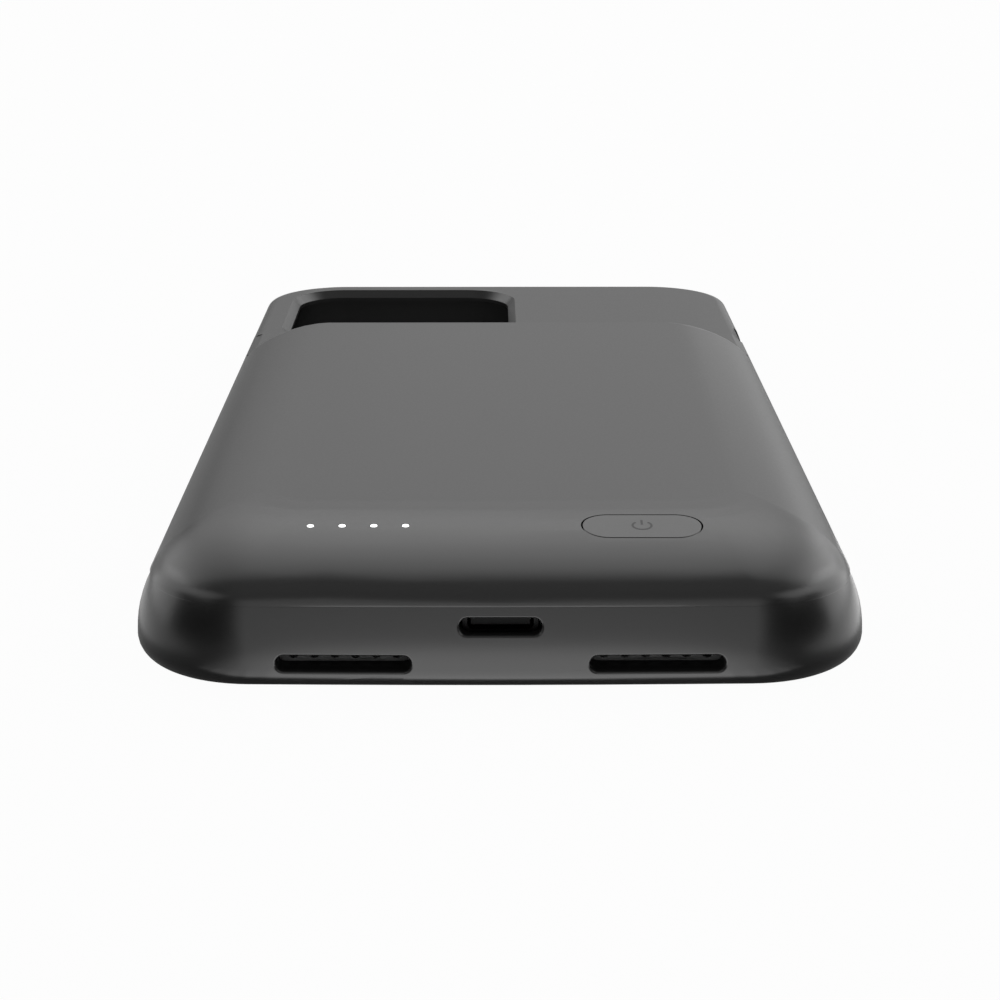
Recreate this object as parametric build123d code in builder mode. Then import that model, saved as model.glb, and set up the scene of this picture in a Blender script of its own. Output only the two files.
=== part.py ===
"""Battery charging case for a large phone.

The case lies on a table with no phone in it, open side down and back up.
Z is up, X runs across the case and Y from the charging end (-Y) to the camera end (+Y).
The origin is under the middle of the case, on the surface that the front rim rests on.
All sizes are in millimetres.
"""

import os
from math import atan2, cos, radians, sin, sqrt

from build123d import *

os.makedirs("parts", exist_ok=True)

# Pocket for the phone, with the room that the phone needs in it
POCKET_LENGTH = 160.4
POCKET_WIDTH = 77.2
POCKET_DEPTH = 7.7
POCKET_CORNER = 11.0
FIT = 0.1

# Frame round the pocket: its walls, front rim and rounded outside
SIDE_WALL = 3.4
CHIN_DEPTH = 11.8
CHIN_WALL = 2.2
TOP_WALL = 2.8
LIP_HEIGHT = 0.9
LIP_OVERLAP = 1.5
FRONT_CORNER = 14.2
FAR_CORNER = 14.9
FRONT_BOW = 0.8
BELLY_HEIGHT = 2.6
RIM_TUCK = 2.2
SEAM_TUCK = 1.65
RING_WIDTH = 5.0
BAY_BACK = 1.4

# Windows in the side walls for the phone's own keys, measured from the phone's top
WINDOW_BOTTOM = 2.4
WINDOW_HEIGHT = 5.0
WINDOW_CORNER = 1.8
VOLUME_WINDOW_MIDDLE = 64.0
VOLUME_WINDOW_LENGTH = 25.0
SIDE_KEY_WINDOW_MIDDLE = 56.0
SIDE_KEY_WINDOW_LENGTH = 20.0
RINGER_NOTCH_LENGTH = 9.0
RINGER_NOTCH_HEIGHT = 5.8
KEY_NOTCH_DEPTH = 0.6
KEY_NOTCH_FRONT = 4.0
KEY_NOTCH_FAR = 6.0
KEY_NOTCH_ARC = 40.0

# Plate between the phone and the battery
TRAY_THICKNESS = 0.7
TRAY_SEAT = 0.6
TRAY_TONGUE = 6.0

# Soft camera end, parted from the rest by a groove across the case
TOP_PART = 42.0
BUMPER_BACK = 1.8
BUMPER_TUCK = 1.45
BUMPER_ROUND = 3.1

# Camera opening, left of the middle as seen from the charging end
CAMERA_WIDTH = 39.4
CAMERA_LENGTH = 39.0
CAMERA_CORNER = 9.0
CAMERA_OFFSET = 16.5
CAMERA_MARGIN = 5.8
CAMERA_CHAMFER = 1.2

# Domed cover over the battery
COVER_WALL = 1.2
HUMP_SETBACK = 54.0
FRONT_SLOPE = 21.5
SIDE_SLOPE = 12.5
SLOPE_START = 12.0
SLOPE_STEPS = 9
HOLLOW_STEPS = 6
TOP_CORNER = 6.0
HUMP_FAR_CORNER = 8.0
HUMP_FAR_TOP_CORNER = 1.0
OVERLAP = 0.4
SEAM_GAP = 0.06
SEAM_GAP_DEPTH = 0.35
RIM_STEP = 0.05
RIM_EDGE = 0.5

# Button and lights in one row across the front slope
ROW_SETBACK = 15.1
ROW_OFFSET = 16.35
BUTTON_HOLE_LENGTH = 14.1
BUTTON_HOLE_WIDTH = 6.5
BUTTON_GAP = 0.22
BUTTON_RIM = 0.6
BUTTON_RIM_THICKNESS = 0.35
BUTTON_NUB = 1.2
BUTTON_NUB_HEIGHT = 0.25
BUTTON_TRAVEL = 0.25
LIGHT_COUNT = 4
LIGHT_PITCH = 3.65
LIGHT_DIAMETER = 0.8
LIGHT_BAR_WIDTH = 2.0
LIGHT_BAR_HEIGHT = 0.7
EMITTER_LENGTH = 1.6
EMITTER_WIDTH = 0.8
EMITTER_HEIGHT = 0.5

# Battery
CELL_THICKNESS = 4.1
CELL_ROOM = 0.2
CELL_FAR_ROOM = 2.2
CELL_EDGE_ROUND = 1.0
CELL_TERRACE = 4.0
TAPE_THICKNESS = 0.2
TAPE_WIDTH = 12.0
TAPE_INSET = 10.0
PROTECTION_THICKNESS = 0.6
PROTECTION_WIDTH = 3.0
LEAD_WIDTH = 3.0
LEAD_THICKNESS = 0.2
LEAD_SPACING = 20.0
LEAD_LAP = 2.0

# Main board on two posts
BOARD_SETBACK = 9.0
BOARD_LENGTH = 17.5
BOARD_WIDTH = 60.0
BOARD_THICKNESS = 0.8
BOARD_CORNER = 1.0
BOARD_GAP = 1.0
POST_HEIGHT = 1.0
POST_DIAMETER = 3.6
SCREW_INSET = 3.0
SCREW_DIAMETER = 1.2
SCREW_HEAD_DIAMETER = 2.4
SCREW_HEAD_HEIGHT = 0.6
SWITCH_SIZE = 3.6
SWITCH_HEIGHT = 0.7
SWITCH_FLOOR = 0.15
PLUNGER_DIAMETER = 1.4
PLUNGER_ROOM = 0.3
PLUNGER_CLEARANCE = 0.1
INDUCTOR_SIZE = 5.0
INDUCTOR_HEIGHT = 1.8
INDUCTOR_CHAMFER = 1.0
CHIP_SIZE = 4.0
CHIP_HEIGHT = 0.8
CAPACITOR_COUNT = 5
CAPACITOR_LENGTH = 1.6
CAPACITOR_WIDTH = 0.8
CAPACITOR_PITCH = 2.0
PARTS_ROW = 7.5

# Charging end: board, socket, plug for the phone and sound slots
CHARGE_BOARD_THICKNESS = 0.8
CHARGE_BOARD_WIDTH = 26.0
CHARGE_BOARD_LENGTH = 6.4
PORT_MIDDLE = 7.3
PORT_WIDTH = 9.1
PORT_HEIGHT = 1.8
SOCKET_WIDTH = 8.4
SOCKET_HEIGHT = 3.0
SOCKET_DEPTH = 5.0
SOCKET_WALL = 0.5
SOCKET_CORNER = 1.2
SOCKET_BACK = 1.0
SOCKET_TONGUE_WIDTH = 6.6
SOCKET_TONGUE_THICKNESS = 1.0
SOCKET_TONGUE_LENGTH = 3.8
PLUG_WIDTH = 6.6
PLUG_THICKNESS = 1.5
PLUG_LENGTH = 6.5
PLUG_TIP_CHAMFER = 0.5
HOLDER_WIDTH = 10.4
HOLDER_HEIGHT = 2.9
HOLDER_DEPTH = 3.2
SLOT_LENGTH = 15.0
SLOT_HEIGHT = 1.9
SLOT_OFFSET = 17.35
SLOT_MIDDLE = 3.2
MOUTH_CHAMFER = 0.25
GRILLE_SETBACK = 4.5
GRILLE_THICKNESS = 1.0
GRILLE_HOLES = 6
GRILLE_PITCH = 2.3
GRILLE_HOLE = 1.2
GRILLE_HOLE_SIDES = 12
FLEX_WIDTH = 5.0
FLEX_THICKNESS = 0.2
FLEX_FOOT = 1.0
FLEX_OFFSET = 9.0

# Places that follow from those sizes
half_width = POCKET_WIDTH / 2 + SIDE_WALL
case_length = CHIN_DEPTH + POCKET_LENGTH + TOP_WALL
front_y = -case_length / 2
far_y = case_length / 2
pocket_front = front_y + CHIN_DEPTH
pocket_far = far_y - TOP_WALL
groove_y = far_y - TOP_PART
hump_far = far_y - HUMP_SETBACK
phone_back = LIP_HEIGHT + POCKET_DEPTH
seam = phone_back + TRAY_THICKNESS
bumper_top = phone_back + BUMPER_BACK
cell_bottom = seam + TAPE_THICKNESS
cell_top = cell_bottom + CELL_THICKNESS
hump_top = cell_top + CELL_ROOM + COVER_WALL
rim_tuck = SEAM_TUCK + RIM_STEP
gap_top = seam + SEAM_GAP
slope_foot = gap_top + RIM_EDGE
slope_start = radians(SLOPE_START)
flat_half_width = half_width - rim_tuck - SIDE_SLOPE
bow_angle = atan2(FRONT_BOW, half_width)
bow_radius = 0.9 * (flat_half_width - TOP_CORNER) * half_width / FRONT_BOW
bow_rise = bow_radius * (1 / cos(bow_angle) - 1)
belly = (half_width, BELLY_HEIGHT)
row_y = front_y + ROW_SETBACK
camera_middle = (-CAMERA_OFFSET, far_y - CAMERA_MARGIN - CAMERA_LENGTH / 2)
board_bottom = seam + POST_HEIGHT
board_top = board_bottom + BOARD_THICKNESS
board_front = front_y + BOARD_SETBACK
board_far = board_front + BOARD_LENGTH
plug_z = LIP_HEIGHT + POCKET_DEPTH / 2
charge_top = PORT_MIDDLE - SOCKET_HEIGHT / 2
charge_floor = charge_top - CHARGE_BOARD_THICKNESS
socket_front = front_y + CHIN_WALL + FRONT_BOW
charge_far = socket_front + CHARGE_BOARD_LENGTH
holder_front = pocket_front - HOLDER_DEPTH
FROM_FRONT = (Align.CENTER, Align.MIN)
FROM_FAR = (Align.CENTER, Align.MAX)


def at_y(y):
    """Upright plane across the case at y, with X to the right and Z up."""
    return Plane.XZ.offset(-y)


def front_points(end_y, side_inset=0.0, front_inset=0.0):
    """Outline of the case from one side at end_y, round the charging end, to the other side."""
    side = half_width - side_inset
    apex = front_y + front_inset - bow_rise
    corner_y = apex + FRONT_BOW * side / half_width
    return [(side, end_y), (side, corner_y), (0, apex), (-side, corner_y), (-side, end_y)]


def front_radii(inset=0.0):
    """Radii of the corners and of the slight bow along that outline."""
    return [FRONT_CORNER - inset, bow_radius, FRONT_CORNER - inset]


def far_points(inset=0.0):
    """Outline of the case from one side at the groove, round the camera end, to the other side."""
    side = half_width - inset
    return [(side, groove_y), (side, far_y - inset), (-side, far_y - inset), (-side, groove_y)]


def rim_outline(inset):
    """Plan of the case at that inset, from the charging end as far as the groove."""
    edge = FilletPolyline(*front_points(groove_y, inset, inset), radius=front_radii(inset))
    Line(edge @ 1, edge @ 0)


def hump_outline(wall, end_y, inward):
    """Plan of the domed cover where its slope has gone inward by that share of the slope's width."""
    side_inset = rim_tuck + wall + (SIDE_SLOPE - wall) * inward
    front_inset = rim_tuck + wall + (FRONT_SLOPE - wall) * inward
    foot_corner = FRONT_CORNER - rim_tuck - wall
    corner = foot_corner + (TOP_CORNER - foot_corner) * inward
    far_corner = HUMP_FAR_CORNER + (HUMP_FAR_TOP_CORNER - HUMP_FAR_CORNER) * inward
    points = front_points(end_y, side_inset, front_inset)
    FilletPolyline(*points, radius=[far_corner, corner, bow_radius, corner, far_corner], close=True)


def hump_form(wall, end_y, steps):
    """Domed block over the battery, up to end_y, lofted through plans whose edges follow an ellipse.

    With a wall of 0 it is the outside of the cover, and otherwise the hollow inside that wall.
    """
    rise = (hump_top - wall - slope_foot) / (1 - sin(slope_start))
    with BuildPart() as form:
        for step in range(steps + 1):
            angle = slope_start + (radians(90) - slope_start) * step / steps
            with BuildSketch(Plane.XY.offset(slope_foot + rise * (sin(angle) - sin(slope_start)))):
                with BuildLine():
                    hump_outline(wall, end_y, 1 - cos(angle) / cos(slope_start))
                make_face()
        loft(ruled=True)
        with BuildSketch(Plane.XY.offset(seam)):
            with BuildLine():
                hump_outline(wall, end_y, 0)
            make_face()
        extrude(amount=slope_foot - seam)
    return form.part


def inner_slope_reach(z):
    """How far the hollow of the cover reaches towards each side at height z."""
    rise = (z - slope_foot) / (hump_top - COVER_WALL - slope_foot)
    height = sin(slope_start) + (1 - sin(slope_start)) * rise
    return flat_half_width + (SIDE_SLOPE - COVER_WALL) * sqrt(1 - height**2) / cos(slope_start)


cover_outside = hump_form(0.0, hump_far, SLOPE_STEPS)
cover_hollow = hump_form(COVER_WALL, hump_far - COVER_WALL, HOLLOW_STEPS)

# Notch at the groove in the right wall, where a fingertip finds the ringer key. It follows the wall's curve.
wall_radius = (SEAM_TUCK**2 + (seam - BELLY_HEIGHT) ** 2) / (2 * SEAM_TUCK)
wall_axis = Axis((half_width - wall_radius, 0, BELLY_HEIGHT), (0, -1, 0))
with BuildPart() as key_notch:
    with BuildSketch(Plane.XY.offset(BELLY_HEIGHT)) as notch_plan:
        with BuildLine():
            notch_front = (half_width, groove_y - KEY_NOTCH_FRONT)
            notch_far = (half_width, groove_y + KEY_NOTCH_FAR)
            notch_root = (half_width - KEY_NOTCH_DEPTH, groove_y)
            outside_x = half_width + KEY_NOTCH_DEPTH
            front_corner = (outside_x, groove_y - KEY_NOTCH_FRONT)
            far_corner = (outside_x, groove_y + KEY_NOTCH_FAR)
            Polyline(notch_root, notch_front, front_corner, far_corner, notch_far, close=True)
        make_face()
    revolve(axis=wall_axis, revolution_arc=KEY_NOTCH_ARC)
    extrude(notch_plan.face(), amount=-BELLY_HEIGHT)


def is_mouth_edge(edge):
    """Whether an edge runs round the mouth of the charging port or of a sound slot."""
    middle = edge.center()
    in_port = abs(middle.X) <= PORT_WIDTH / 2 and abs(middle.Z - PORT_MIDDLE) <= PORT_HEIGHT / 2 + FIT
    from_slot = abs(abs(middle.X) - SLOT_OFFSET)
    in_slot = from_slot <= SLOT_LENGTH / 2 and abs(middle.Z - SLOT_MIDDLE) <= SLOT_HEIGHT / 2 + FIT
    on_outside = middle.Y < front_y + CHIN_WALL - FIT and edge.bounding_box().size.Y < CHIN_WALL / 2
    return on_outside and (in_port or in_slot)


# Frame: one moulding of two side walls and the chin, its barrel-shaped wall swept round the end
with BuildPart() as side_frame:
    with BuildSketch(at_y(groove_y)):
        with BuildLine():
            rim = TangentArc(belly, (half_width - RIM_TUCK, 0), tangent=(0, -1))
            upper = TangentArc(belly, (half_width - SEAM_TUCK, seam), tangent=(0, 1))
            ring_x = half_width - RING_WIDTH
            Polyline(upper @ 1, (ring_x, seam), (ring_x, 0), rim @ 1)
        make_face()
    with BuildLine():
        FilletPolyline(*front_points(groove_y), radius=front_radii())
    sweep()
    fill_inset = RING_WIDTH - OVERLAP
    with BuildSketch():
        with BuildLine():
            rim_outline(fill_inset)
        make_face()
    extrude(amount=seam)
    # Pocket, front opening inside the lip, and the seat of the tray
    with BuildSketch(Plane.XY.offset(LIP_HEIGHT)) as pocket:
        with Locations((0, pocket_front)):
            Rectangle(POCKET_WIDTH, POCKET_LENGTH, align=FROM_FRONT)
        fillet(pocket.vertices().group_by(Axis.Y)[0], POCKET_CORNER)
    extrude(amount=seam - LIP_HEIGHT, mode=Mode.SUBTRACT)
    with BuildSketch() as front_opening:
        with Locations((0, pocket_front + LIP_OVERLAP)):
            Rectangle(POCKET_WIDTH - 2 * LIP_OVERLAP, POCKET_LENGTH, align=FROM_FRONT)
        fillet(front_opening.vertices().group_by(Axis.Y)[0], POCKET_CORNER - LIP_OVERLAP)
    extrude(amount=LIP_HEIGHT, mode=Mode.SUBTRACT)
    with BuildSketch(Plane.XY.offset(phone_back)) as seat:
        with Locations((0, pocket_front - TRAY_SEAT)):
            Rectangle(POCKET_WIDTH + 2 * TRAY_SEAT, POCKET_LENGTH, align=FROM_FRONT)
        fillet(seat.vertices().group_by(Axis.Y)[0], POCKET_CORNER + TRAY_SEAT)
    extrude(amount=TRAY_THICKNESS, mode=Mode.SUBTRACT)
    # Bay in the chin for the charging board
    with BuildSketch(Plane.XY.offset(charge_floor)):
        with BuildLine():
            rim_outline(CHIN_WALL)
        make_face()
        with Locations((0, pocket_front - BAY_BACK)):
            Rectangle(2 * half_width, case_length, align=FROM_FRONT, mode=Mode.SUBTRACT)
    extrude(amount=seam - charge_floor, mode=Mode.SUBTRACT)
    with BuildSketch(at_y(holder_front)):
        with Locations((0, plug_z)):
            Rectangle(HOLDER_WIDTH, HOLDER_HEIGHT)
    extrude(amount=-HOLDER_DEPTH, mode=Mode.SUBTRACT)
    # Charging port and sound slots in the end face
    with BuildSketch(at_y(front_y)):
        with Locations((0, PORT_MIDDLE)):
            SlotOverall(PORT_WIDTH, PORT_HEIGHT)
    extrude(amount=-(CHIN_WALL + FRONT_BOW), mode=Mode.SUBTRACT)
    with BuildSketch(at_y(front_y)):
        with Locations((-SLOT_OFFSET, SLOT_MIDDLE), (SLOT_OFFSET, SLOT_MIDDLE)):
            SlotOverall(SLOT_LENGTH, SLOT_HEIGHT)
    extrude(amount=-(CHIN_DEPTH + LIP_OVERLAP), mode=Mode.SUBTRACT)
    chamfer(side_frame.edges().filter_by(is_mouth_edge), MOUTH_CHAMFER)
    # Windows for the phone's keys
    with BuildSketch(Plane.YZ):
        with Locations((pocket_far - VOLUME_WINDOW_MIDDLE, WINDOW_BOTTOM + WINDOW_HEIGHT / 2)):
            RectangleRounded(VOLUME_WINDOW_LENGTH, WINDOW_HEIGHT, WINDOW_CORNER)
    extrude(amount=half_width, mode=Mode.SUBTRACT)
    with BuildSketch(Plane.YZ):
        with Locations((pocket_far - SIDE_KEY_WINDOW_MIDDLE, WINDOW_BOTTOM + WINDOW_HEIGHT / 2)):
            RectangleRounded(SIDE_KEY_WINDOW_LENGTH, WINDOW_HEIGHT, WINDOW_CORNER)
    extrude(amount=-half_width, mode=Mode.SUBTRACT)
    with BuildSketch(Plane.YZ):
        with Locations((groove_y, WINDOW_BOTTOM + RINGER_NOTCH_HEIGHT / 2)):
            RectangleRounded(2 * RINGER_NOTCH_LENGTH, RINGER_NOTCH_HEIGHT, WINDOW_CORNER)
    extrude(amount=half_width, mode=Mode.SUBTRACT)
    add(key_notch.part, mode=Mode.SUBTRACT)
side_frame.part.label = "side_frame"
export_step(side_frame.part, "parts/side_frame.step")

# Camera opening, with a wide chamfer round its top edge
with BuildPart() as camera_opening:
    with BuildSketch(Plane.XY.offset(bumper_top)):
        with Locations(camera_middle):
            RectangleRounded(CAMERA_WIDTH, CAMERA_LENGTH, CAMERA_CORNER)
    extrude(amount=-CAMERA_CHAMFER, taper=45)
    with BuildSketch(Plane.XY.offset(phone_back - TRAY_THICKNESS)):
        with Locations(camera_middle):
            inner_width = CAMERA_WIDTH - 2 * CAMERA_CHAMFER
            inner_length = CAMERA_LENGTH - 2 * CAMERA_CHAMFER
            RectangleRounded(inner_width, inner_length, CAMERA_CORNER - CAMERA_CHAMFER)
    extrude(amount=bumper_top - phone_back + TRAY_THICKNESS)

# Soft camera end: wall swept round the far end, with a back plate that has the camera opening
with BuildPart() as top_bumper:
    with BuildSketch(at_y(groove_y)):
        with BuildLine():
            rim = TangentArc(belly, (half_width - RIM_TUCK, 0), tangent=(0, -1))
            upper = TangentArc(belly, (half_width - BUMPER_TUCK, seam), tangent=(0, 1))
            edge_round = TangentArc(upper @ 1, (half_width - BUMPER_ROUND, bumper_top), tangent=upper % 1)
            ring_x = half_width - RING_WIDTH
            Polyline(edge_round @ 1, (ring_x, bumper_top), (ring_x, 0), rim @ 1)
        make_face()
    with BuildLine():
        FilletPolyline(*far_points(), radius=FAR_CORNER)
    sweep()
    with BuildSketch():
        with BuildLine():
            edge = FilletPolyline(*far_points(fill_inset), radius=FAR_CORNER - fill_inset)
            Line(edge @ 1, edge @ 0)
        make_face()
    extrude(amount=bumper_top)
    with BuildSketch(Plane.XY.offset(LIP_HEIGHT)) as pocket:
        with Locations((0, pocket_far)):
            Rectangle(POCKET_WIDTH, POCKET_LENGTH, align=FROM_FAR)
        fillet(pocket.vertices().group_by(Axis.Y)[-1], POCKET_CORNER)
    extrude(amount=POCKET_DEPTH, mode=Mode.SUBTRACT)
    with BuildSketch() as front_opening:
        with Locations((0, pocket_far - LIP_OVERLAP)):
            Rectangle(POCKET_WIDTH - 2 * LIP_OVERLAP, POCKET_LENGTH, align=FROM_FAR)
        fillet(front_opening.vertices().group_by(Axis.Y)[-1], POCKET_CORNER - LIP_OVERLAP)
    extrude(amount=LIP_HEIGHT, mode=Mode.SUBTRACT)
    with BuildSketch(Plane.XY.offset(phone_back)):
        with Locations((0, groove_y + TRAY_TONGUE)):
            Rectangle(POCKET_WIDTH + 2 * TRAY_SEAT, POCKET_LENGTH, align=FROM_FAR)
    extrude(amount=TRAY_THICKNESS, mode=Mode.SUBTRACT)
    add(camera_opening.part, mode=Mode.SUBTRACT)
    add(key_notch.part, mode=Mode.SUBTRACT)
top_bumper.part.label = "top_bumper"
export_step(top_bumper.part, "parts/top_bumper.step")

# Tray: flat plate that the phone lies on, let into the frame and under the soft end
screw_x = BOARD_WIDTH / 2 - SCREW_INSET
screw_y = (board_front + board_far) / 2
screw_points = [(-screw_x, screw_y), (screw_x, screw_y)]
tray_front = pocket_front - TRAY_SEAT + FIT
tray_far = groove_y + TRAY_TONGUE - FIT
with BuildPart() as inner_tray:
    with BuildSketch(Plane.XY.offset(phone_back)) as plate:
        with Locations((0, tray_front)):
            Rectangle(POCKET_WIDTH + 2 * (TRAY_SEAT - FIT), tray_far - tray_front, align=FROM_FRONT)
        fillet(plate.vertices().group_by(Axis.Y)[0], POCKET_CORNER + TRAY_SEAT - FIT)
    extrude(amount=TRAY_THICKNESS)
    add(camera_opening.part, mode=Mode.SUBTRACT)
    with BuildSketch(Plane.XY.offset(seam)):
        with Locations(*screw_points):
            Circle(POST_DIAMETER / 2)
            Circle(SCREW_DIAMETER / 2, mode=Mode.SUBTRACT)
    extrude(amount=POST_HEIGHT)
inner_tray.part.label = "inner_tray"
export_step(inner_tray.part, "parts/inner_tray.step")

# Back cover: domed shell on an upright rim, with a flat apron as far as the groove
with BuildPart() as back_cover:
    add(cover_outside)
    for bottom, inset, top in ((seam, rim_tuck + SEAM_GAP_DEPTH, gap_top), (gap_top, rim_tuck, slope_foot)):
        with BuildSketch(Plane.XY.offset(bottom)):
            with BuildLine():
                rim_outline(inset)
            make_face()
        extrude(amount=top - bottom)
    with BuildSketch(at_y(hump_far - COVER_WALL)):
        with BuildLine():
            apron_x = half_width - BUMPER_ROUND
            foot_x = half_width - rim_tuck
            Polyline(
                (-foot_x, slope_foot),
                (-apron_x, bumper_top),
                (apron_x, bumper_top),
                (foot_x, slope_foot),
                close=True,
            )
        make_face()
    extrude(amount=-(groove_y - hump_far + COVER_WALL))
    add(cover_hollow, mode=Mode.SUBTRACT)
    add(key_notch.part, mode=Mode.SUBTRACT)
    with BuildSketch(Plane.XY.offset(seam)):
        with Locations((ROW_OFFSET, row_y)):
            SlotOverall(BUTTON_HOLE_LENGTH, BUTTON_HOLE_WIDTH)
        with Locations((-ROW_OFFSET, row_y)):
            with GridLocations(LIGHT_PITCH, 0, LIGHT_COUNT, 1):
                Circle(LIGHT_DIAMETER / 2 + FIT / 2)
    extrude(amount=hump_top, mode=Mode.SUBTRACT)
    add(camera_opening.part, mode=Mode.SUBTRACT)
back_cover.part.label = "back_cover"
export_step(back_cover.part, "parts/back_cover.step")

# Power button: pill cap that follows the cover, kept in by a wider rim, with a nub over the switch
plunger_top = board_top + SWITCH_HEIGHT + BUTTON_TRAVEL + PLUNGER_CLEARANCE
button_rim_bottom = plunger_top + BUTTON_NUB_HEIGHT
with BuildPart() as power_button:
    with BuildSketch(Plane.XY.offset(button_rim_bottom)):
        with Locations((ROW_OFFSET, row_y)):
            SlotOverall(BUTTON_HOLE_LENGTH - 2 * BUTTON_GAP, BUTTON_HOLE_WIDTH - 2 * BUTTON_GAP)
    extrude(amount=hump_top)
    add(cover_outside, mode=Mode.INTERSECT)
    with BuildSketch(Plane.XY.offset(button_rim_bottom)):
        with Locations((ROW_OFFSET, row_y)):
            SlotOverall(BUTTON_HOLE_LENGTH + 2 * BUTTON_RIM, BUTTON_HOLE_WIDTH + 2 * BUTTON_RIM)
    extrude(amount=BUTTON_RIM_THICKNESS)
    with BuildSketch(Plane.XY.offset(plunger_top)):
        with Locations((ROW_OFFSET, row_y)):
            Circle(BUTTON_NUB / 2)
    extrude(amount=BUTTON_NUB_HEIGHT)
power_button.part.label = "power_button"
export_step(power_button.part, "parts/power_button.step")

# Switch under the button, and the plunger that the button pushes into it
with BuildPart() as tact_switch:
    with BuildSketch(Plane.XY.offset(board_top)):
        with Locations((ROW_OFFSET, row_y)):
            Rectangle(SWITCH_SIZE, SWITCH_SIZE)
    extrude(amount=SWITCH_HEIGHT)
    with BuildSketch(Plane.XY.offset(board_top + SWITCH_FLOOR)):
        with Locations((ROW_OFFSET, row_y)):
            Circle(PLUNGER_DIAMETER / 2 + PLUNGER_ROOM)
    extrude(amount=SWITCH_HEIGHT, mode=Mode.SUBTRACT)
tact_switch.part.label = "tact_switch"
export_step(tact_switch.part, "parts/tact_switch.step")

plunger_bottom = board_top + SWITCH_FLOOR + BUTTON_TRAVEL + PLUNGER_CLEARANCE
with BuildPart() as switch_plunger:
    with BuildSketch(Plane.XY.offset(plunger_bottom)):
        with Locations((ROW_OFFSET, row_y)):
            Circle(PLUNGER_DIAMETER / 2)
    extrude(amount=plunger_top - plunger_bottom)
switch_plunger.part.label = "switch_plunger"
export_step(switch_plunger.part, "parts/switch_plunger.step")

# Lights: emitters on the board, and a clear bar whose pins end flush in the cover
with BuildPart() as led_emitters:
    with BuildSketch(Plane.XY.offset(board_top)):
        with Locations((-ROW_OFFSET, row_y)):
            with GridLocations(LIGHT_PITCH, 0, LIGHT_COUNT, 1):
                Rectangle(EMITTER_LENGTH, EMITTER_WIDTH)
    extrude(amount=EMITTER_HEIGHT)
led_emitters.part.label = "led_emitters"
export_step(led_emitters.part, "parts/led_emitters.step")

light_bar_bottom = board_top + EMITTER_HEIGHT
with BuildPart() as light_guide:
    with BuildSketch(Plane.XY.offset(light_bar_bottom)):
        with Locations((-ROW_OFFSET, row_y)):
            SlotOverall((LIGHT_COUNT - 1) * LIGHT_PITCH + LIGHT_BAR_WIDTH, LIGHT_BAR_WIDTH)
    extrude(amount=LIGHT_BAR_HEIGHT)
    with BuildSketch(Plane.XY.offset(light_bar_bottom)):
        with Locations((-ROW_OFFSET, row_y)):
            with GridLocations(LIGHT_PITCH, 0, LIGHT_COUNT, 1):
                Circle(LIGHT_DIAMETER / 2)
    extrude(amount=hump_top)
    add(cover_outside, mode=Mode.INTERSECT)
light_guide.part.label = "light_guide"
export_step(light_guide.part, "parts/light_guide.step")

# Main board on the tray's posts, with its screws
with BuildPart() as main_board:
    with BuildSketch(Plane.XY.offset(board_bottom)):
        with Locations((0, (board_front + board_far) / 2)):
            RectangleRounded(BOARD_WIDTH, BOARD_LENGTH, BOARD_CORNER)
        with Locations(*screw_points):
            Circle(SCREW_DIAMETER / 2 + FIT, mode=Mode.SUBTRACT)
    extrude(amount=BOARD_THICKNESS)
main_board.part.label = "main_board"
export_step(main_board.part, "parts/main_board.step")

screw_depth = BOARD_THICKNESS + POST_HEIGHT
with BuildPart() as board_screws:
    with BuildSketch(Plane.XY.offset(board_top)):
        with Locations(*screw_points):
            Circle(SCREW_HEAD_DIAMETER / 2)
    extrude(amount=SCREW_HEAD_HEIGHT)
    with BuildSketch(Plane.XY.offset(board_top)):
        with Locations(*screw_points):
            Circle(SCREW_DIAMETER / 2)
    extrude(amount=-screw_depth)
board_screws.part.label = "board_screws"
export_step(board_screws.part, "parts/board_screws.step")

# Parts on the main board, in a row behind the button and the lights
parts_y = row_y + PARTS_ROW
with BuildPart() as power_inductor:
    with BuildSketch(Plane.XY.offset(board_top)) as can:
        with Locations((0, parts_y)):
            Rectangle(INDUCTOR_SIZE, INDUCTOR_SIZE)
        chamfer(can.vertices(), INDUCTOR_CHAMFER)
    extrude(amount=INDUCTOR_HEIGHT)
power_inductor.part.label = "power_inductor"
export_step(power_inductor.part, "parts/power_inductor.step")

with BuildPart() as control_chips:
    with BuildSketch(Plane.XY.offset(board_top)):
        with Locations((-ROW_OFFSET, parts_y), (ROW_OFFSET, parts_y)):
            Rectangle(CHIP_SIZE, CHIP_SIZE)
    extrude(amount=CHIP_HEIGHT)
control_chips.part.label = "control_chips"
export_step(control_chips.part, "parts/control_chips.step")

with BuildPart() as capacitors:
    with BuildSketch(Plane.XY.offset(board_top)):
        with Locations((0, row_y)):
            with GridLocations(CAPACITOR_PITCH, 0, CAPACITOR_COUNT, 1):
                Rectangle(CAPACITOR_WIDTH, CAPACITOR_LENGTH)
    extrude(amount=CAPACITOR_WIDTH)
capacitors.part.label = "capacitors"
export_step(capacitors.part, "parts/capacitors.step")

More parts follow.
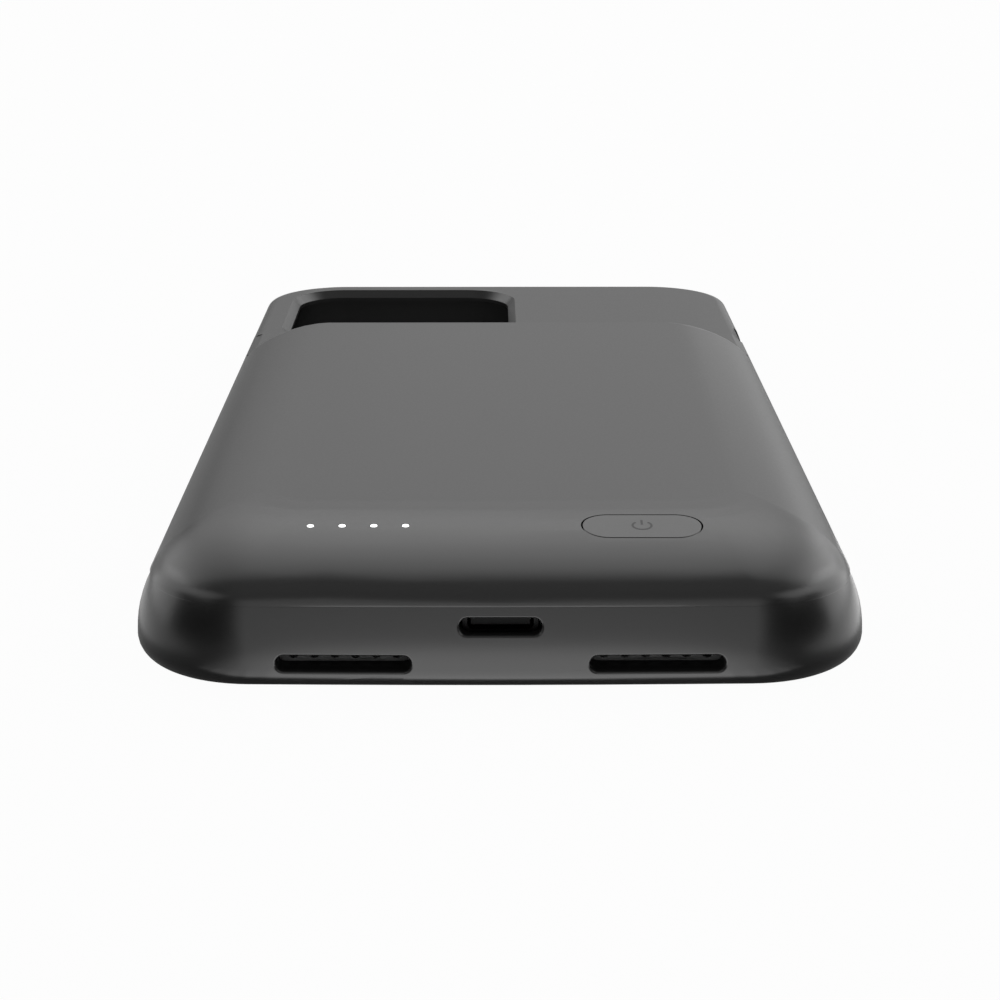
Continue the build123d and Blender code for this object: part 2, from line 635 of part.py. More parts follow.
# Battery: pouch cell with a thin sealed end, taped to the tray
cell_side = inner_slope_reach(cell_top) - CELL_ROOM
cell_front = board_far + BOARD_GAP + CELL_TERRACE
cell_far = hump_far - COVER_WALL - CELL_FAR_ROOM
cell_length = cell_far - cell_front
terrace_top = board_top - PROTECTION_THICKNESS
with BuildPart() as battery_cell:
    with BuildSketch(Plane.XY.offset(cell_bottom)):
        with Locations((0, cell_front)):
            Rectangle(2 * cell_side, cell_length, align=FROM_FRONT)
    extrude(amount=CELL_THICKNESS)
    fillet(battery_cell.edges().filter_by(Axis.Y), CELL_EDGE_ROUND)
    with BuildSketch(Plane.XY.offset(cell_bottom)):
        with Locations((0, cell_front)):
            Rectangle(2 * (cell_side - CELL_TERRACE), CELL_TERRACE, align=FROM_FAR)
    extrude(amount=terrace_top - cell_bottom)
battery_cell.part.label = "battery_cell"
export_step(battery_cell.part, "parts/battery_cell.step")

with BuildPart() as battery_tape:
    with BuildSketch(Plane.XY.offset(seam)):
        with Locations((-cell_side / 2, cell_front + TAPE_INSET), (cell_side / 2, cell_front + TAPE_INSET)):
            Rectangle(TAPE_WIDTH, cell_length - 2 * TAPE_INSET, align=FROM_FRONT)
    extrude(amount=TAPE_THICKNESS)
battery_tape.part.label = "battery_tape"
export_step(battery_tape.part, "parts/battery_tape.step")

protection_front = cell_front - CELL_TERRACE
with BuildPart() as protection_board:
    with BuildSketch(Plane.XY.offset(terrace_top)):
        with Locations((0, protection_front)):
            Rectangle(2 * (cell_side - CELL_TERRACE), PROTECTION_WIDTH, align=FROM_FRONT)
    extrude(amount=PROTECTION_THICKNESS)
protection_board.part.label = "protection_board"
export_step(protection_board.part, "parts/protection_board.step")

with BuildPart() as battery_leads:
    with BuildSketch(Plane.XY.offset(board_top)):
        with Locations((0, board_far - LEAD_LAP)):
            with GridLocations(LEAD_SPACING, 0, 2, 1):
                Rectangle(LEAD_WIDTH, 2 * LEAD_LAP + BOARD_GAP, align=FROM_FRONT)
    extrude(amount=LEAD_THICKNESS)
battery_leads.part.label = "battery_leads"
export_step(battery_leads.part, "parts/battery_leads.step")

# Charging board on the floor of the bay, with the socket behind the port
with BuildPart() as charge_board:
    with BuildSketch(Plane.XY.offset(charge_floor)):
        with Locations((0, socket_front)):
            Rectangle(CHARGE_BOARD_WIDTH, CHARGE_BOARD_LENGTH, align=FROM_FRONT)
    extrude(amount=CHARGE_BOARD_THICKNESS)
charge_board.part.label = "charge_board"
export_step(charge_board.part, "parts/charge_board.step")

socket_inner_width = SOCKET_WIDTH - 2 * SOCKET_WALL
socket_inner_height = SOCKET_HEIGHT - 2 * SOCKET_WALL
socket_inner_corner = SOCKET_CORNER - SOCKET_WALL
with BuildPart() as charge_socket_shell:
    with BuildSketch(at_y(socket_front)):
        with Locations((0, PORT_MIDDLE)):
            RectangleRounded(SOCKET_WIDTH, SOCKET_HEIGHT, SOCKET_CORNER)
            RectangleRounded(socket_inner_width, socket_inner_height, socket_inner_corner, mode=Mode.SUBTRACT)
    extrude(amount=-SOCKET_DEPTH)
charge_socket_shell.part.label = "charge_socket_shell"
export_step(charge_socket_shell.part, "parts/charge_socket_shell.step")

socket_back = socket_front + SOCKET_DEPTH - SOCKET_BACK
with BuildPart() as charge_socket_insert:
    with BuildSketch(at_y(socket_back)):
        with Locations((0, PORT_MIDDLE)):
            RectangleRounded(socket_inner_width, socket_inner_height, socket_inner_corner)
    extrude(amount=-SOCKET_BACK)
    with BuildSketch(at_y(socket_back)):
        with Locations((0, PORT_MIDDLE)):
            Rectangle(SOCKET_TONGUE_WIDTH, SOCKET_TONGUE_THICKNESS)
    extrude(amount=SOCKET_TONGUE_LENGTH)
charge_socket_insert.part.label = "charge_socket_insert"
export_step(charge_socket_insert.part, "parts/charge_socket_insert.step")

# Plug for the phone: metal tongue in a plastic block that straddles the edge of the charging board
with BuildPart() as plug_holder:
    with BuildSketch(at_y(holder_front)):
        with Locations((0, plug_z)):
            Rectangle(HOLDER_WIDTH, HOLDER_HEIGHT)
    extrude(amount=-HOLDER_DEPTH)
    with BuildSketch(at_y(holder_front)):
        with Locations((0, charge_top - CHARGE_BOARD_THICKNESS / 2)):
            Rectangle(HOLDER_WIDTH, CHARGE_BOARD_THICKNESS)
    extrude(amount=-(charge_far - holder_front), mode=Mode.SUBTRACT)
plug_holder.part.label = "plug_holder"
export_step(plug_holder.part, "parts/plug_holder.step")

with BuildPart() as phone_plug:
    with BuildSketch(at_y(pocket_front)):
        with Locations((0, plug_z)):
            SlotOverall(PLUG_WIDTH, PLUG_THICKNESS)
    extrude(amount=-PLUG_LENGTH)
    chamfer(phone_plug.edges().group_by(Axis.Y)[-1], PLUG_TIP_CHAMFER)
phone_plug.part.label = "phone_plug"
export_step(phone_plug.part, "parts/phone_plug.step")

# Flat flex from the charging board up to the underside of the main board
flex_y = board_front + FLEX_FOOT
with BuildPart() as board_flex:
    with BuildSketch(Plane.YZ.offset(-FLEX_OFFSET - FLEX_WIDTH / 2)):
        with BuildLine():
            Polyline(
                (flex_y - FLEX_FOOT - FLEX_THICKNESS, charge_top),
                (flex_y, charge_top),
                (flex_y, board_bottom),
                (flex_y - FLEX_FOOT, board_bottom),
                (flex_y - FLEX_FOOT, board_bottom - FLEX_THICKNESS),
                (flex_y - FLEX_THICKNESS, board_bottom - FLEX_THICKNESS),
                (flex_y - FLEX_THICKNESS, charge_top + FLEX_THICKNESS),
                (flex_y - FLEX_FOOT - FLEX_THICKNESS, charge_top + FLEX_THICKNESS),
                close=True,
            )
        make_face()
    extrude(amount=FLEX_WIDTH)
board_flex.part.label = "board_flex"
export_step(board_flex.part, "parts/board_flex.step")

# Sound grilles: inserts with a row of holes, set back in the slots
for side, name in ((-1, "sound_grille_left"), (1, "sound_grille_right")):
    with BuildPart() as sound_grille:
        with BuildSketch(at_y(front_y + GRILLE_SETBACK)):
            with Locations((side * SLOT_OFFSET, SLOT_MIDDLE)):
                SlotOverall(SLOT_LENGTH - FIT, SLOT_HEIGHT - FIT)
                with GridLocations(GRILLE_PITCH, 0, GRILLE_HOLES, 1):
                    RegularPolygon(GRILLE_HOLE / 2, GRILLE_HOLE_SIDES, mode=Mode.SUBTRACT)
        extrude(amount=-GRILLE_THICKNESS)
    sound_grille.part.label = name
    export_step(sound_grille.part, f"parts/{name}.step")
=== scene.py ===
import math

import bmesh
import bpy
from mathutils import Matrix, Vector
from mathutils.bvhtree import BVHTree


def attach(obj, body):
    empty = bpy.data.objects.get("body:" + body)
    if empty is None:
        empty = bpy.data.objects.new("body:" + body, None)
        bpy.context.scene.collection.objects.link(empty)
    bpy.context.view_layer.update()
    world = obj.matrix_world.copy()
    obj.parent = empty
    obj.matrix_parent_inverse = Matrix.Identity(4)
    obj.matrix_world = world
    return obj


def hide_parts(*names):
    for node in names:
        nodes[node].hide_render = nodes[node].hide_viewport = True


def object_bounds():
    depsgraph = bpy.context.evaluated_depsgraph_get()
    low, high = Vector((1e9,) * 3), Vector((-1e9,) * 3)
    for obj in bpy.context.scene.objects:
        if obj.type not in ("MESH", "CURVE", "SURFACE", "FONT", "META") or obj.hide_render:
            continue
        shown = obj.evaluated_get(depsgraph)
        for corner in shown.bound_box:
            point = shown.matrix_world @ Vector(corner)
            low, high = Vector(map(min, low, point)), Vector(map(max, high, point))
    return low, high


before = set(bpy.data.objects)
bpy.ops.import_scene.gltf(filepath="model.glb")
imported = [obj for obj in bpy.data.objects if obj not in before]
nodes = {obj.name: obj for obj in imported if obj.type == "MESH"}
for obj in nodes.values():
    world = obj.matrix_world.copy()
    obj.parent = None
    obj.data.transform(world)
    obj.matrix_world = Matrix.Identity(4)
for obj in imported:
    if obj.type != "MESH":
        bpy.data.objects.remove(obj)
cad_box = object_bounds()


# Side frame: one stiff moulding of both side walls and the chin, in black polycarbonate.
# It comes from a fine-blasted tool and has a satin coat, and the mouths in it have eased edges.
CORNER_X = 0.0278
CORNER_Y = -0.0730
BOW_HALF_WIDTH = 0.0196
BOW_SLOPE = math.radians(1.1)
BELLY_HEIGHT = 0.0026
WALL_RADIUS = 0.01443
FOOT_RADIUS = 0.00264
SAME_FACE = math.cos(math.radians(14))
MERGE_DISTANCE = 2e-6
CREASE = math.radians(32)
WIDE_CREASE = math.radians(50)


def wall_normal(point):
    """Way the outer wall faces at a point: flat sides, round corners and a bowed charging end."""
    if point.y > CORNER_Y:
        plan = Vector((math.copysign(1.0, point.x), 0.0, 0.0))
    elif abs(point.x) > CORNER_X:
        from_centre = (point.x - math.copysign(CORNER_X, point.x), point.y - CORNER_Y, 0.0)
        plan = Vector(from_centre).normalized()
    else:
        bow = max(-1.0, min(1.0, point.x / BOW_HALF_WIDTH)) * BOW_SLOPE
        plan = Vector((math.sin(bow), -math.cos(bow), 0.0))
    above_belly = point.z - BELLY_HEIGHT
    rise = above_belly / (WALL_RADIUS if above_belly > 0 else FOOT_RADIUS)
    return plan * math.sqrt(1 - rise * rise) + Vector((0.0, 0.0, rise))


def finished_copy(node_name, true_normal=None, body="case", crease=CREASE):
    """Takes the place of a solid, with its triangles joined and its curves shaded smooth.

    Where true_normal is given, the faces that look that way are shaded with it. A corner whose
    normal is left at zero keeps the one that the mesh gives it.
    """
    form = bmesh.new()
    form.from_mesh(nodes[node_name].data)
    bmesh.ops.remove_doubles(form, verts=form.verts, dist=MERGE_DISTANCE)
    mesh = bpy.data.meshes.new(node_name + "_shell")
    form.to_mesh(mesh)
    form.free()
    mesh.shade_smooth()
    mesh.set_sharp_from_angle(angle=crease)
    shading = [Vector() for _ in mesh.loops]
    if true_normal:
        for face in mesh.polygons:
            for corner in face.loop_indices:
                normal = true_normal(mesh.vertices[mesh.loops[corner].vertex_index].co)
                if normal.dot(face.normal) > SAME_FACE:
                    shading[corner] = normal
    mesh.normals_split_custom_set(shading)
    piece = bpy.data.objects.new(node_name + "_shell", mesh)
    bpy.context.scene.collection.objects.link(piece)
    if not true_normal:
        level = piece.modifiers.new("flat_faces_stay_flat", "WEIGHTED_NORMAL")
        level.keep_sharp = True
    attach(piece, body)
    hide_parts(node_name)
    return piece


def colour(hex_code):
    """Linear colour of an sRGB hex value."""
    channels = [int(hex_code[i:i + 2], 16) / 255 for i in (1, 3, 5)]
    return [c / 12.92 if c <= 0.04045 else ((c + 0.055) / 1.055) ** 2.4 for c in channels] + [1.0]


def add_node(material, kind, inputs, **settings):
    """Adds a node; an input that is given a socket is linked to it, and any other value is set."""
    tree = material.node_tree
    node = tree.nodes.new(kind)
    for name, value in settings.items():
        setattr(node, name, value)
    for name, value in inputs.items():
        if isinstance(value, bpy.types.NodeSocket):
            tree.links.new(value, node.inputs[name])
        else:
            node.inputs[name].default_value = value
    return node


# The grain of a real moulding is finer than the sizes given to it here: it is drawn coarser, to show
MM_IN_METRE = 1000
CLOUD_MM = 18.0
CLOUD_DETAIL = 3.0
GRAIN_DETAIL = 2.0
GRAIN_STRENGTH = 0.04
GRAIN_HEIGHT = 0.00002
GRAIN_GLOSS = 0.03


def moulded(name, dark, light, roughness, grain_mm, specular):
    """Moulded plastic: a faintly cloudy colour, and a fine grain that breaks the gloss."""
    material = bpy.data.materials.new(name)
    material.use_nodes = True
    place = add_node(material, "ShaderNodeTexCoord", {}).outputs["Object"]
    cloud = add_node(
        material,
        "ShaderNodeTexNoise",
        {"Vector": place, "Scale": MM_IN_METRE / CLOUD_MM, "Detail": CLOUD_DETAIL},
    ).outputs["Fac"]
    grain = add_node(
        material,
        "ShaderNodeTexNoise",
        {"Vector": place, "Scale": MM_IN_METRE / grain_mm, "Detail": GRAIN_DETAIL},
    ).outputs["Fac"]
    tint = add_node(
        material,
        "ShaderNodeMix",
        {"Factor": cloud, "A": colour(dark), "B": colour(light)},
        data_type="RGBA",
    )
    gloss = add_node(
        material,
        "ShaderNodeMapRange",
        {"Value": grain, "To Min": roughness - GRAIN_GLOSS, "To Max": roughness + GRAIN_GLOSS},
    )
    bump = add_node(
        material,
        "ShaderNodeBump",
        {"Height": grain, "Strength": GRAIN_STRENGTH, "Distance": GRAIN_HEIGHT},
    )
    shader = material.node_tree.nodes["Principled BSDF"]
    material.node_tree.links.new(tint.outputs["Result"], shader.inputs["Base Color"])
    material.node_tree.links.new(gloss.outputs["Result"], shader.inputs["Roughness"])
    material.node_tree.links.new(bump.outputs["Normal"], shader.inputs["Normal"])
    shader.inputs["Specular IOR Level"].default_value = specular
    return material


# Near black under a thin satin coat, so most of what shows is the lamps' broad, soft reflection
satin_polycarbonate = moulded(
    "polycarbonate_satin_coat", "#0a0a0a", "#0d0d0d", roughness=0.3, grain_mm=0.35, specular=0.3
)
side_frame = finished_copy("side_frame", wall_normal, crease=WIDE_CREASE)
side_frame.data.materials.append(satin_polycarbonate)


# Charging end: a plated steel socket behind the port with its nylon insert, a plug in a nylon block,
# the small glass epoxy board they sit on and the polyimide film that joins it to the main board.
def dress(node_name, material):
    """Gives a solid one material."""
    nodes[node_name].data.materials.clear()
    nodes[node_name].data.materials.append(material)


STREAK_STRETCH = (1.0, 0.08, 1.0)
STREAK_GLOSS = 0.06


def plated(name, dark, light, roughness, streak_mm):
    """Drawn and plated metal: bright, with fine streaks along its length."""
    material = bpy.data.materials.new(name)
    material.use_nodes = True
    place = add_node(material, "ShaderNodeTexCoord", {}).outputs["Object"]
    along = add_node(material, "ShaderNodeMapping", {"Vector": place, "Scale": STREAK_STRETCH})
    streak = add_node(
        material,
        "ShaderNodeTexNoise",
        {"Vector": along.outputs["Vector"], "Scale": MM_IN_METRE / streak_mm},
    ).outputs["Fac"]
    tint = add_node(
        material,
        "ShaderNodeMix",
        {"Factor": streak, "A": colour(dark), "B": colour(light)},
        data_type="RGBA",
    )
    gloss = add_node(
        material,
        "ShaderNodeMapRange",
        {"Value": streak, "To Min": roughness - STREAK_GLOSS, "To Max": roughness + STREAK_GLOSS},
    )
    shader = material.node_tree.nodes["Principled BSDF"]
    material.node_tree.links.new(tint.outputs["Result"], shader.inputs["Base Color"])
    material.node_tree.links.new(gloss.outputs["Result"], shader.inputs["Roughness"])
    shader.inputs["Metallic"].default_value = 1.0
    return material


# A dark metal whose fine streaks dull what it reflects
black_nickel = plated("steel_black_nickel", "#141414", "#1c1c1c", roughness=0.45, streak_mm=0.4)
# Black with a dull, soft shine
black_nylon = moulded(
    "nylon_moulded", "#0a0a0a", "#0e0e0e", roughness=0.5, grain_mm=0.5, specular=0.3
)
# A bright, slightly warm metal with fine streaks
bright_nickel = plated("steel_nickel_plated", "#b4b2ad", "#cfcdc8", roughness=0.25, streak_mm=0.4)
# Deep green under a smooth lacquer
solder_mask = moulded(
    "glass_epoxy_solder_mask", "#0f3d24", "#14492c", roughness=0.35, grain_mm=0.6, specular=0.5
)
# Amber with an even gloss
polyimide = moulded(
    "polyimide_film_rolled", "#a8611c", "#b86d22", roughness=0.3, grain_mm=0.8, specular=0.5
)
# Black and flat, since the glass in it takes the shine off
filled_nylon = moulded(
    "nylon_glass_filled", "#070707", "#0a0a0a", roughness=0.6, grain_mm=0.5, specular=0.12
)
dress("charge_socket_shell", black_nickel)
dress("charge_socket_insert", filled_nylon)
dress("plug_holder", black_nylon)
dress("phone_plug", bright_nickel)
dress("charge_board", solder_mask)
dress("board_flex", polyimide)

# Sound grilles: dark grey nylon inserts with a row of holes, pressed into the two slots of the chin.
# They sit a little nearer the mouths than the solids do, so that their faces show under the upper lips.
GRILLE_FORWARD = 0.0008
# Dull and paler than the frame, so that the dark holes stand out
grey_nylon = moulded(
    "nylon_dark_grey", "#2e2e2e", "#363636", roughness=0.6, grain_mm=0.5, specular=0.3
)
for side in ("left", "right"):
    grille = finished_copy("sound_grille_" + side)
    grille.data.transform(Matrix.Translation((0.0, -GRILLE_FORWARD, 0.0)))
    grille.data.materials.append(grey_nylon)

# Inner tray: the plate between the pocket and the battery, moulded in black ABS.
# It is seated in the frame and carries the posts for the main board, and its grain makes it
# an even, dull black.
grained_abs = moulded("abs_grained", "#121212", "#171717", roughness=0.5, grain_mm=0.4, specular=0.4)
dress("inner_tray", grained_abs)

# Battery: pouch cell in aluminium foil, held to the tray by white foam tape, with its protection board
# and two nickel strips that carry the current to the main board.
dress("protection_board", solder_mask)
dress("battery_leads", bright_nickel)
# A pale grey metal with broad, soft streaks
foil = plated("aluminium_foil_laminate", "#a9abae", "#bdbfc2", roughness=0.35, streak_mm=1.5)
# Off-white and chalky
foam_tape = moulded(
    "acrylic_foam_tape", "#d8d6cc", "#e4e2da", roughness=0.8, grain_mm=0.4, specular=0.3
)
dress("battery_cell", foil)
dress("battery_tape", foam_tape)

# Main board: green glass epoxy on two posts of the tray, with plated screws, a ferrite inductor,
# two chips in black epoxy and a row of fired ceramic capacitors.
dress("main_board", solder_mask)
dress("board_screws", bright_nickel)
# Black and dull
epoxy = moulded(
    "epoxy_transfer_moulded", "#0d0d0d", "#141414", roughness=0.55, grain_mm=0.3, specular=0.4
)
# Dark grey and stony
ferrite = moulded("ferrite_pressed", "#232323", "#2b2b2b", roughness=0.6, grain_mm=0.3, specular=0.4)
# Light brown with a faint glaze
ceramic = moulded(
    "barium_titanate_fired", "#9c7c5b", "#b39069", roughness=0.5, grain_mm=0.3, specular=0.5
)
dress("power_inductor", ferrite)
dress("control_chips", epoxy)
dress("capacitors", ceramic)

# Lights: four emitters on the board and a milky polycarbonate bar whose pins end flush in the cover.
# All four are lit in the photograph, so the bar glows white.
LIT_STRENGTH = 0.9
# White, and evenly bright from the light that scatters in it
milky = moulded(
    "polycarbonate_milky", "#f4f6f8", "#ffffff", roughness=0.4, grain_mm=0.3, specular=0.5
)
milky_shader = milky.node_tree.nodes["Principled BSDF"]
milky_shader.inputs["Emission Color"].default_value = colour("#ffffff")
milky_shader.inputs["Emission Strength"].default_value = LIT_STRENGTH
dress("light_guide", milky)
dress("led_emitters", milky)

# Power button: a cap in the same satin polycarbonate as the cover, over a plated switch and its
# nylon plunger. It slides in its hole in the cover, and its top is shaded as one flat face.
FACES_UP = 0.95
dress("tact_switch", bright_nickel)
dress("switch_plunger", black_nylon)
cap_faces = [face for face in nodes["power_button"].data.polygons if face.normal.z > FACES_UP]
cap_normal = sum((face.normal * face.area for face in cap_faces), Vector()).normalized()
power_button = finished_copy("power_button", lambda point: cap_normal, "button", WIDE_CREASE)
power_button.data.materials.append(satin_polycarbonate)

# Power sign: a broken ring and a bar, etched by laser into the satin coat of the cap.
# It lies on the top of the cap, has almost no height and moves with the button.
SIGN_RADIUS = 0.00122
SIGN_LINE = 0.00026
SIGN_HEIGHT = 0.00001
SIGN_GAP = math.radians(80)
RING_STEPS = 40
BAR_MIDDLE = 0.7 * SIGN_RADIUS
ABOVE_CASE = 0.01
button_points = [vertex.co for vertex in power_button.data.vertices]
button_x = (min(p.x for p in button_points) + max(p.x for p in button_points)) / 2
button_y = (min(p.y for p in button_points) + max(p.y for p in button_points)) / 2
sign_form = bmesh.new()
ring_start = math.pi / 2 + SIGN_GAP / 2
ring_section = []
for radius in (SIGN_RADIUS - SIGN_LINE, SIGN_RADIUS):
    for height in (-SIGN_HEIGHT, SIGN_HEIGHT):
        ring_section.append(
            sign_form.verts.new((radius * math.cos(ring_start), radius * math.sin(ring_start), height))
        )
ring_face = sign_form.faces.new([ring_section[i] for i in (0, 1, 3, 2)])
bmesh.ops.spin(
    sign_form,
    geom=[ring_face] + list(ring_face.edges) + ring_section,
    axis=(0, 0, 1),
    angle=2 * math.pi - SIGN_GAP,
    steps=RING_STEPS,
)
bar = bmesh.ops.create_cube(sign_form, size=1.0)["verts"]
bmesh.ops.scale(sign_form, verts=bar, vec=(SIGN_LINE, SIGN_RADIUS, 2 * SIGN_HEIGHT))
bmesh.ops.translate(sign_form, verts=bar, vec=(0, BAR_MIDDLE, 0))
bmesh.ops.recalc_face_normals(sign_form, faces=sign_form.faces)
cap_surface = BVHTree.FromPolygons(
    button_points, [list(face.vertices) for face in power_button.data.polygons]
)
for vertex in sign_form.verts:
    above = Vector((vertex.co.x + button_x, vertex.co.y + button_y, cad_box[1].z + ABOVE_CASE))
    on_cap = cap_surface.ray_cast(above, Vector((0, 0, -1)))[0]
    vertex.co = on_cap + Vector((0, 0, vertex.co.z))
sign_mesh = bpy.data.meshes.new("power_sign")
sign_form.to_mesh(sign_mesh)
sign_form.free()
power_sign = bpy.data.objects.new("power_sign", sign_mesh)
bpy.context.scene.collection.objects.link(power_sign)
# Darker and duller than the coat round it, so the sign reads as thin dark lines
etched_polycarbonate = moulded(
    "polycarbonate_laser_etched", "#060606", "#090909", roughness=0.42, grain_mm=0.2, specular=0.2
)
power_sign.data.materials.append(etched_polycarbonate)
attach(power_sign, "button")

# Back cover: domed shell over the battery, in the same satin polycarbonate as the frame.
# Its edge is eased round the corners and sides, so the light runs on from the wall to the dome,
# and the flat top, the apron behind the dome and its rim round the large opening stay crisp.
EASE_FOOT = 0.0093
EASE_TOP = 0.0108
EASE_FROM_X = 0.022
EASE_FULL_X = 0.030
APRON_START = 0.034
FLAT = 0.9995
FACES_OUT = 0.5
back_cover = finished_copy("back_cover")
back_cover.data.materials.append(satin_polycarbonate)
bpy.context.view_layer.update()
levelled = back_cover.evaluated_get(bpy.context.evaluated_depsgraph_get()).data
cover_shading = [corner.vector.copy() for corner in levelled.corner_normals]
solid_shading = nodes["back_cover"].data.corner_normals
for face in back_cover.data.polygons:
    for corner in face.loop_indices:
        point = back_cover.data.vertices[back_cover.data.loops[corner].vertex_index].co
        along_wall = wall_normal(point)
        if face.normal.z > FLAT:
            cover_shading[corner] = face.normal.copy()
        elif face.center.y > APRON_START:
            cover_shading[corner] = solid_shading[corner].vector.copy()
        elif point.z < EASE_TOP and cover_shading[corner].dot(along_wall) > FACES_OUT:
            low = (EASE_TOP - point.z) / (EASE_TOP - EASE_FOOT)
            outward = (abs(point.x) - EASE_FROM_X) / (EASE_FULL_X - EASE_FROM_X)
            eased = low * max(0.0, min(1.0, outward))
            cover_shading[corner] = cover_shading[corner].lerp(along_wall, eased).normalized()
back_cover.modifiers.clear()
back_cover.data.normals_split_custom_set(cover_shading)

# Soft end: the band round the large opening, moulded in thermoplastic rubber to the black of the frame.
# It is drawn over the end of the frame, and a groove parts it from the apron of the cover.
# It has a gloss a shade softer than the satin coat.
satin_rubber = moulded(
    "thermoplastic_rubber_moulded", "#0a0a0a", "#0d0d0d", roughness=0.31, grain_mm=0.35, specular=0.3
)
dress("top_bumper", satin_rubber)

# Floor: matt paper that runs out past the frame of the picture, a hair below the rim of the case.
# A glow that the camera sees makes it white. Its own grey takes the light and the shadow, and only
# a small share of the glow shows in reflections, which keeps the foot of the case dark.
FLOOR_RADIUS = 4.0
FLOOR_SEGMENTS = 96
FLOOR_DROP = 0.00005
FLOOR_GLOW = 0.97
FLOOR_GLOW_IN_GLOSS = 0.06
PAPER_ROUGHNESS = 0.9
floor_form = bmesh.new()
bmesh.ops.create_circle(floor_form, cap_ends=True, segments=FLOOR_SEGMENTS, radius=FLOOR_RADIUS)
bmesh.ops.translate(floor_form, verts=floor_form.verts, vec=(0.0, 0.0, -FLOOR_DROP))
floor_mesh = bpy.data.meshes.new("floor")
floor_form.to_mesh(floor_mesh)
floor_form.free()
floor = bpy.data.objects.new("floor", floor_mesh)
bpy.context.scene.collection.objects.link(floor)
# Quite matt, with no shine of its own
paper = bpy.data.materials.new("paper_white")
paper.use_nodes = True
paper_shader = paper.node_tree.nodes["Principled BSDF"]
paper_shader.inputs["Base Color"].default_value = colour("#8c8c8c")
paper_shader.inputs["Roughness"].default_value = PAPER_ROUGHNESS
paper_shader.inputs["Specular IOR Level"].default_value = 0.0
glow = add_node(paper, "ShaderNodeEmission", {"Color": colour("#ffffff"), "Strength": 1.0})
rays = add_node(paper, "ShaderNodeLightPath", {}).outputs
seen = add_node(
    paper,
    "ShaderNodeMath",
    {0: rays["Is Camera Ray"], 1: rays["Is Transmission Ray"]},
    operation="MAXIMUM",
)
seen_glow = add_node(
    paper, "ShaderNodeMath", {0: seen.outputs[0], 1: FLOOR_GLOW}, operation="MULTIPLY"
)
gloss_glow = add_node(
    paper, "ShaderNodeMath", {0: rays["Is Glossy Ray"], 1: FLOOR_GLOW_IN_GLOSS}, operation="MULTIPLY"
)
glow_share = add_node(
    paper, "ShaderNodeMath", {0: seen_glow.outputs[0], 1: gloss_glow.outputs[0]}, operation="MAXIMUM"
)
mixed = add_node(
    paper,
    "ShaderNodeMixShader",
    {0: glow_share.outputs[0], 1: paper_shader.outputs[0], 2: glow.outputs[0]},
)
paper.node_tree.links.new(mixed.outputs[0], paper.node_tree.nodes["Material Output"].inputs["Surface"])
floor.data.materials.append(paper)


# Studio: soft lamps all round, the widest high behind the case, where the back of the case reflects it.
# Low cards on the floor light the charging end, and lamps that overlap stand at different heights,
# because light from two that share one plane doesn't add up.
def softbox(name, place, aim, width, height, radiance):
    """Flat soft lamp at a place, turned to a point, as bright as that against a white of 1."""
    lamp = bpy.data.lights.new(name, "AREA")
    lamp.shape = "RECTANGLE"
    lamp.size = width
    lamp.size_y = height
    lamp.energy = radiance * math.pi * width * height
    softbox_object = bpy.data.objects.new(name, lamp)
    bpy.context.scene.collection.objects.link(softbox_object)
    softbox_object.location = place
    softbox_object.rotation_euler = (Vector(aim) - Vector(place)).to_track_quat("-Z", "Y").to_euler()
    softbox_object.visible_camera = False


# Name, place, point that it faces, width, height and brightness of each lamp
SOFTBOXES = (
    ("back_softbox", (0.0, 0.77, 0.92), (0.0, 0.0, 0.0), 2.2, 1.1, 1.4),
    ("back_softbox_middle", (0.05, 0.67, 0.87), (0.05, 0.0, 0.0), 0.6, 0.95, 0.9),
    ("left_wing", (-0.8, 0.7, 0.84), (-0.8, 0.0, 0.0), 0.5, 1.0, 0.7),
    ("right_wing", (0.8, 0.7, 0.84), (0.8, 0.0, 0.0), 0.5, 1.0, 1.5),
    ("backdrop", (0.1, 1.4, 0.5), (0.1, 0.0, 0.5), 1.3, 0.4, 0.76),
    ("low_left_card", (-0.36, 1.4, 0.15), (-0.36, 0.0, 0.15), 0.52, 0.3, 0.38),
    ("low_middle_card", (0.05, 1.4, 0.15), (0.05, 0.0, 0.15), 0.3, 0.3, 0.5),
    ("low_right_card", (0.4, 1.4, 0.15), (0.4, 0.0, 0.15), 0.4, 0.3, 0.9),
    ("left_rear_panel", (-0.8, 1.1, 0.3), (0.0, 0.0, 0.1), 0.5, 0.6, 0.7),
    ("right_rear_panel", (0.8, 1.1, 0.3), (0.0, 0.0, 0.1), 0.6, 0.6, 1.4),
    ("left_side_panel", (-0.95, 0.4, 0.55), (0.0, 0.4, 0.55), 1.0, 1.1, 2.4),
    ("right_side_panel", (0.95, 0.4, 0.55), (0.0, 0.4, 0.55), 1.0, 1.1, 3.4),
    ("left_high_panel", (-0.8, -0.35, 0.85), (0.0, -0.1, 0.0), 0.6, 0.5, 2.2),
    ("right_high_panel", (0.8, -0.35, 0.85), (0.0, -0.1, 0.0), 0.6, 0.5, 3.0),
    ("left_floor_card", (-0.17, -0.06, 0.0001), (-0.17, -0.06, 1.0), 0.24, 0.08, 0.8),
    ("right_floor_card", (0.17, -0.06, 0.0001), (0.17, -0.06, 1.0), 0.24, 0.08, 1.6),
    ("top_softbox", (0.0, -0.45, 1.2), (0.0, -0.45, 0.0), 1.0, 1.1, 0.7),
    ("front_panel", (0.0, -0.9, 0.4), (0.0, -0.09, 0.0), 0.62, 0.86, 2.05),
    ("front_far_card", (0.0, -0.55, 0.0001), (0.0, -0.55, 1.0), 0.36, 0.5, 4.8),
)
for lamp_values in SOFTBOXES:
    softbox(*lamp_values)

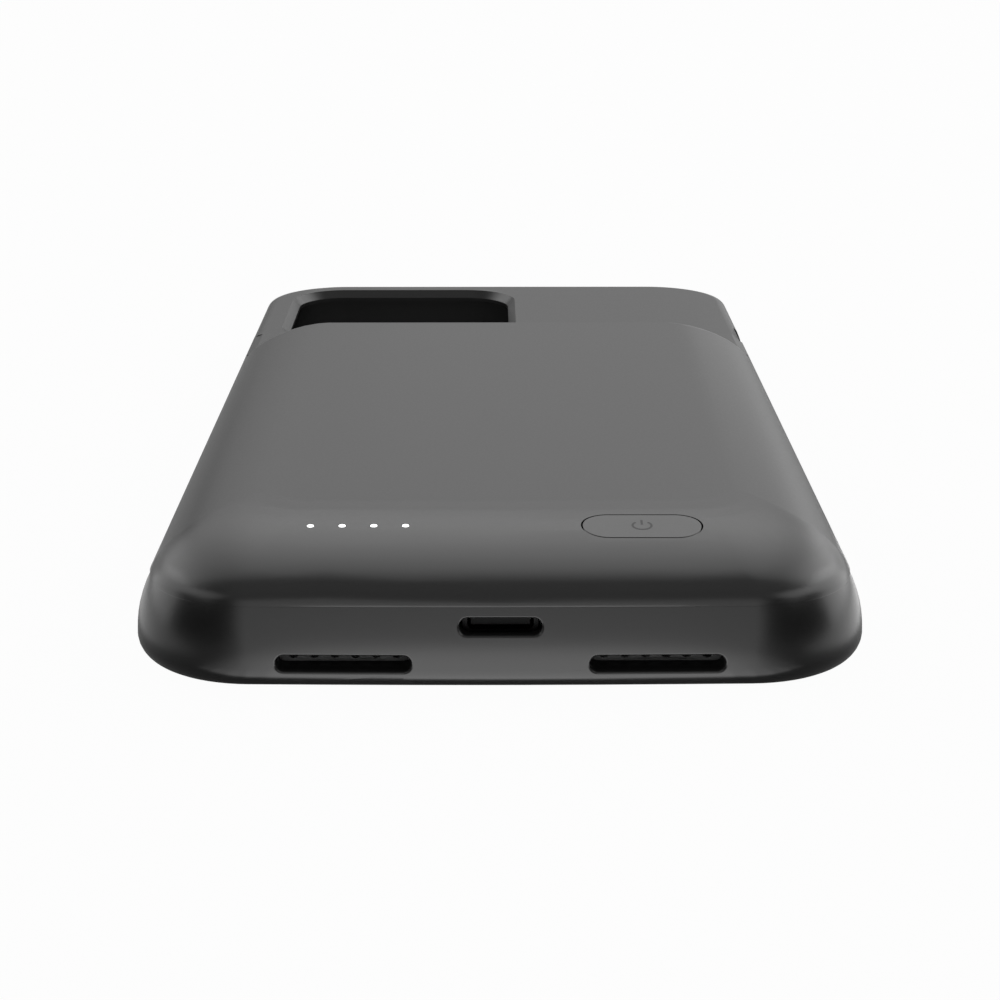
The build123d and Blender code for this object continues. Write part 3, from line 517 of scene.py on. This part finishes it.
# Near card in five stepped layers, so that its sides fade off instead of ending in an edge
NEAR_CARD_WIDTHS = (0.052, 0.057, 0.062, 0.067, 0.072)
NEAR_CARD_LENGTH = 0.2126
NEAR_CARD_Y = -0.1937
NEAR_CARD_Z = 0.0001
NEAR_CARD_STEP = 0.0002
NEAR_CARD_RADIANCE = 0.84
for step, width in enumerate(NEAR_CARD_WIDTHS):
    near_place = Vector((0.0, NEAR_CARD_Y, NEAR_CARD_Z + NEAR_CARD_STEP * step))
    near_aim = near_place + Vector((0, 0, 1))
    near_name = "front_near_card_" + str(step)
    softbox(near_name, near_place, near_aim, width, NEAR_CARD_LENGTH, NEAR_CARD_RADIANCE)

# Studio walls: white to the camera, and only a trace of light from them on the case
WALL_LIGHT = 0.03
studio = bpy.data.worlds.new("studio")
bpy.context.scene.world = studio
studio.use_nodes = True
studio_light = studio.node_tree.nodes["Background"]
studio_light.inputs["Color"].default_value = colour("#ffffff")
studio_rays = add_node(studio, "ShaderNodeLightPath", {}).outputs
wall_seen = add_node(
    studio,
    "ShaderNodeMath",
    {0: studio_rays["Is Camera Ray"], 1: studio_rays["Is Transmission Ray"]},
    operation="MAXIMUM",
)
wall_level = add_node(
    studio, "ShaderNodeMath", {0: wall_seen.outputs[0], 1: WALL_LIGHT}, operation="MAXIMUM"
)
studio.node_tree.links.new(wall_level.outputs[0], studio_light.inputs["Strength"])

# Camera: a short telephoto just above the charging end, looking down a little along the case
CAMERA_PLACE = (-0.001013, -0.31776, 0.092503)
CAMERA_DOWN = math.radians(16.9806)
CAMERA_TURN = math.radians(-0.2348)
CAMERA_LENS = 80.52
camera_lens = bpy.data.cameras.new("camera")
camera_lens.lens = CAMERA_LENS
camera = bpy.data.objects.new("camera", camera_lens)
bpy.context.scene.collection.objects.link(camera)
camera.location = CAMERA_PLACE
camera.rotation_euler = (math.pi / 2 - CAMERA_DOWN, 0.0, CAMERA_TURN)
bpy.context.scene.camera = camera
bpy.context.scene.view_settings.view_transform = "Standard"
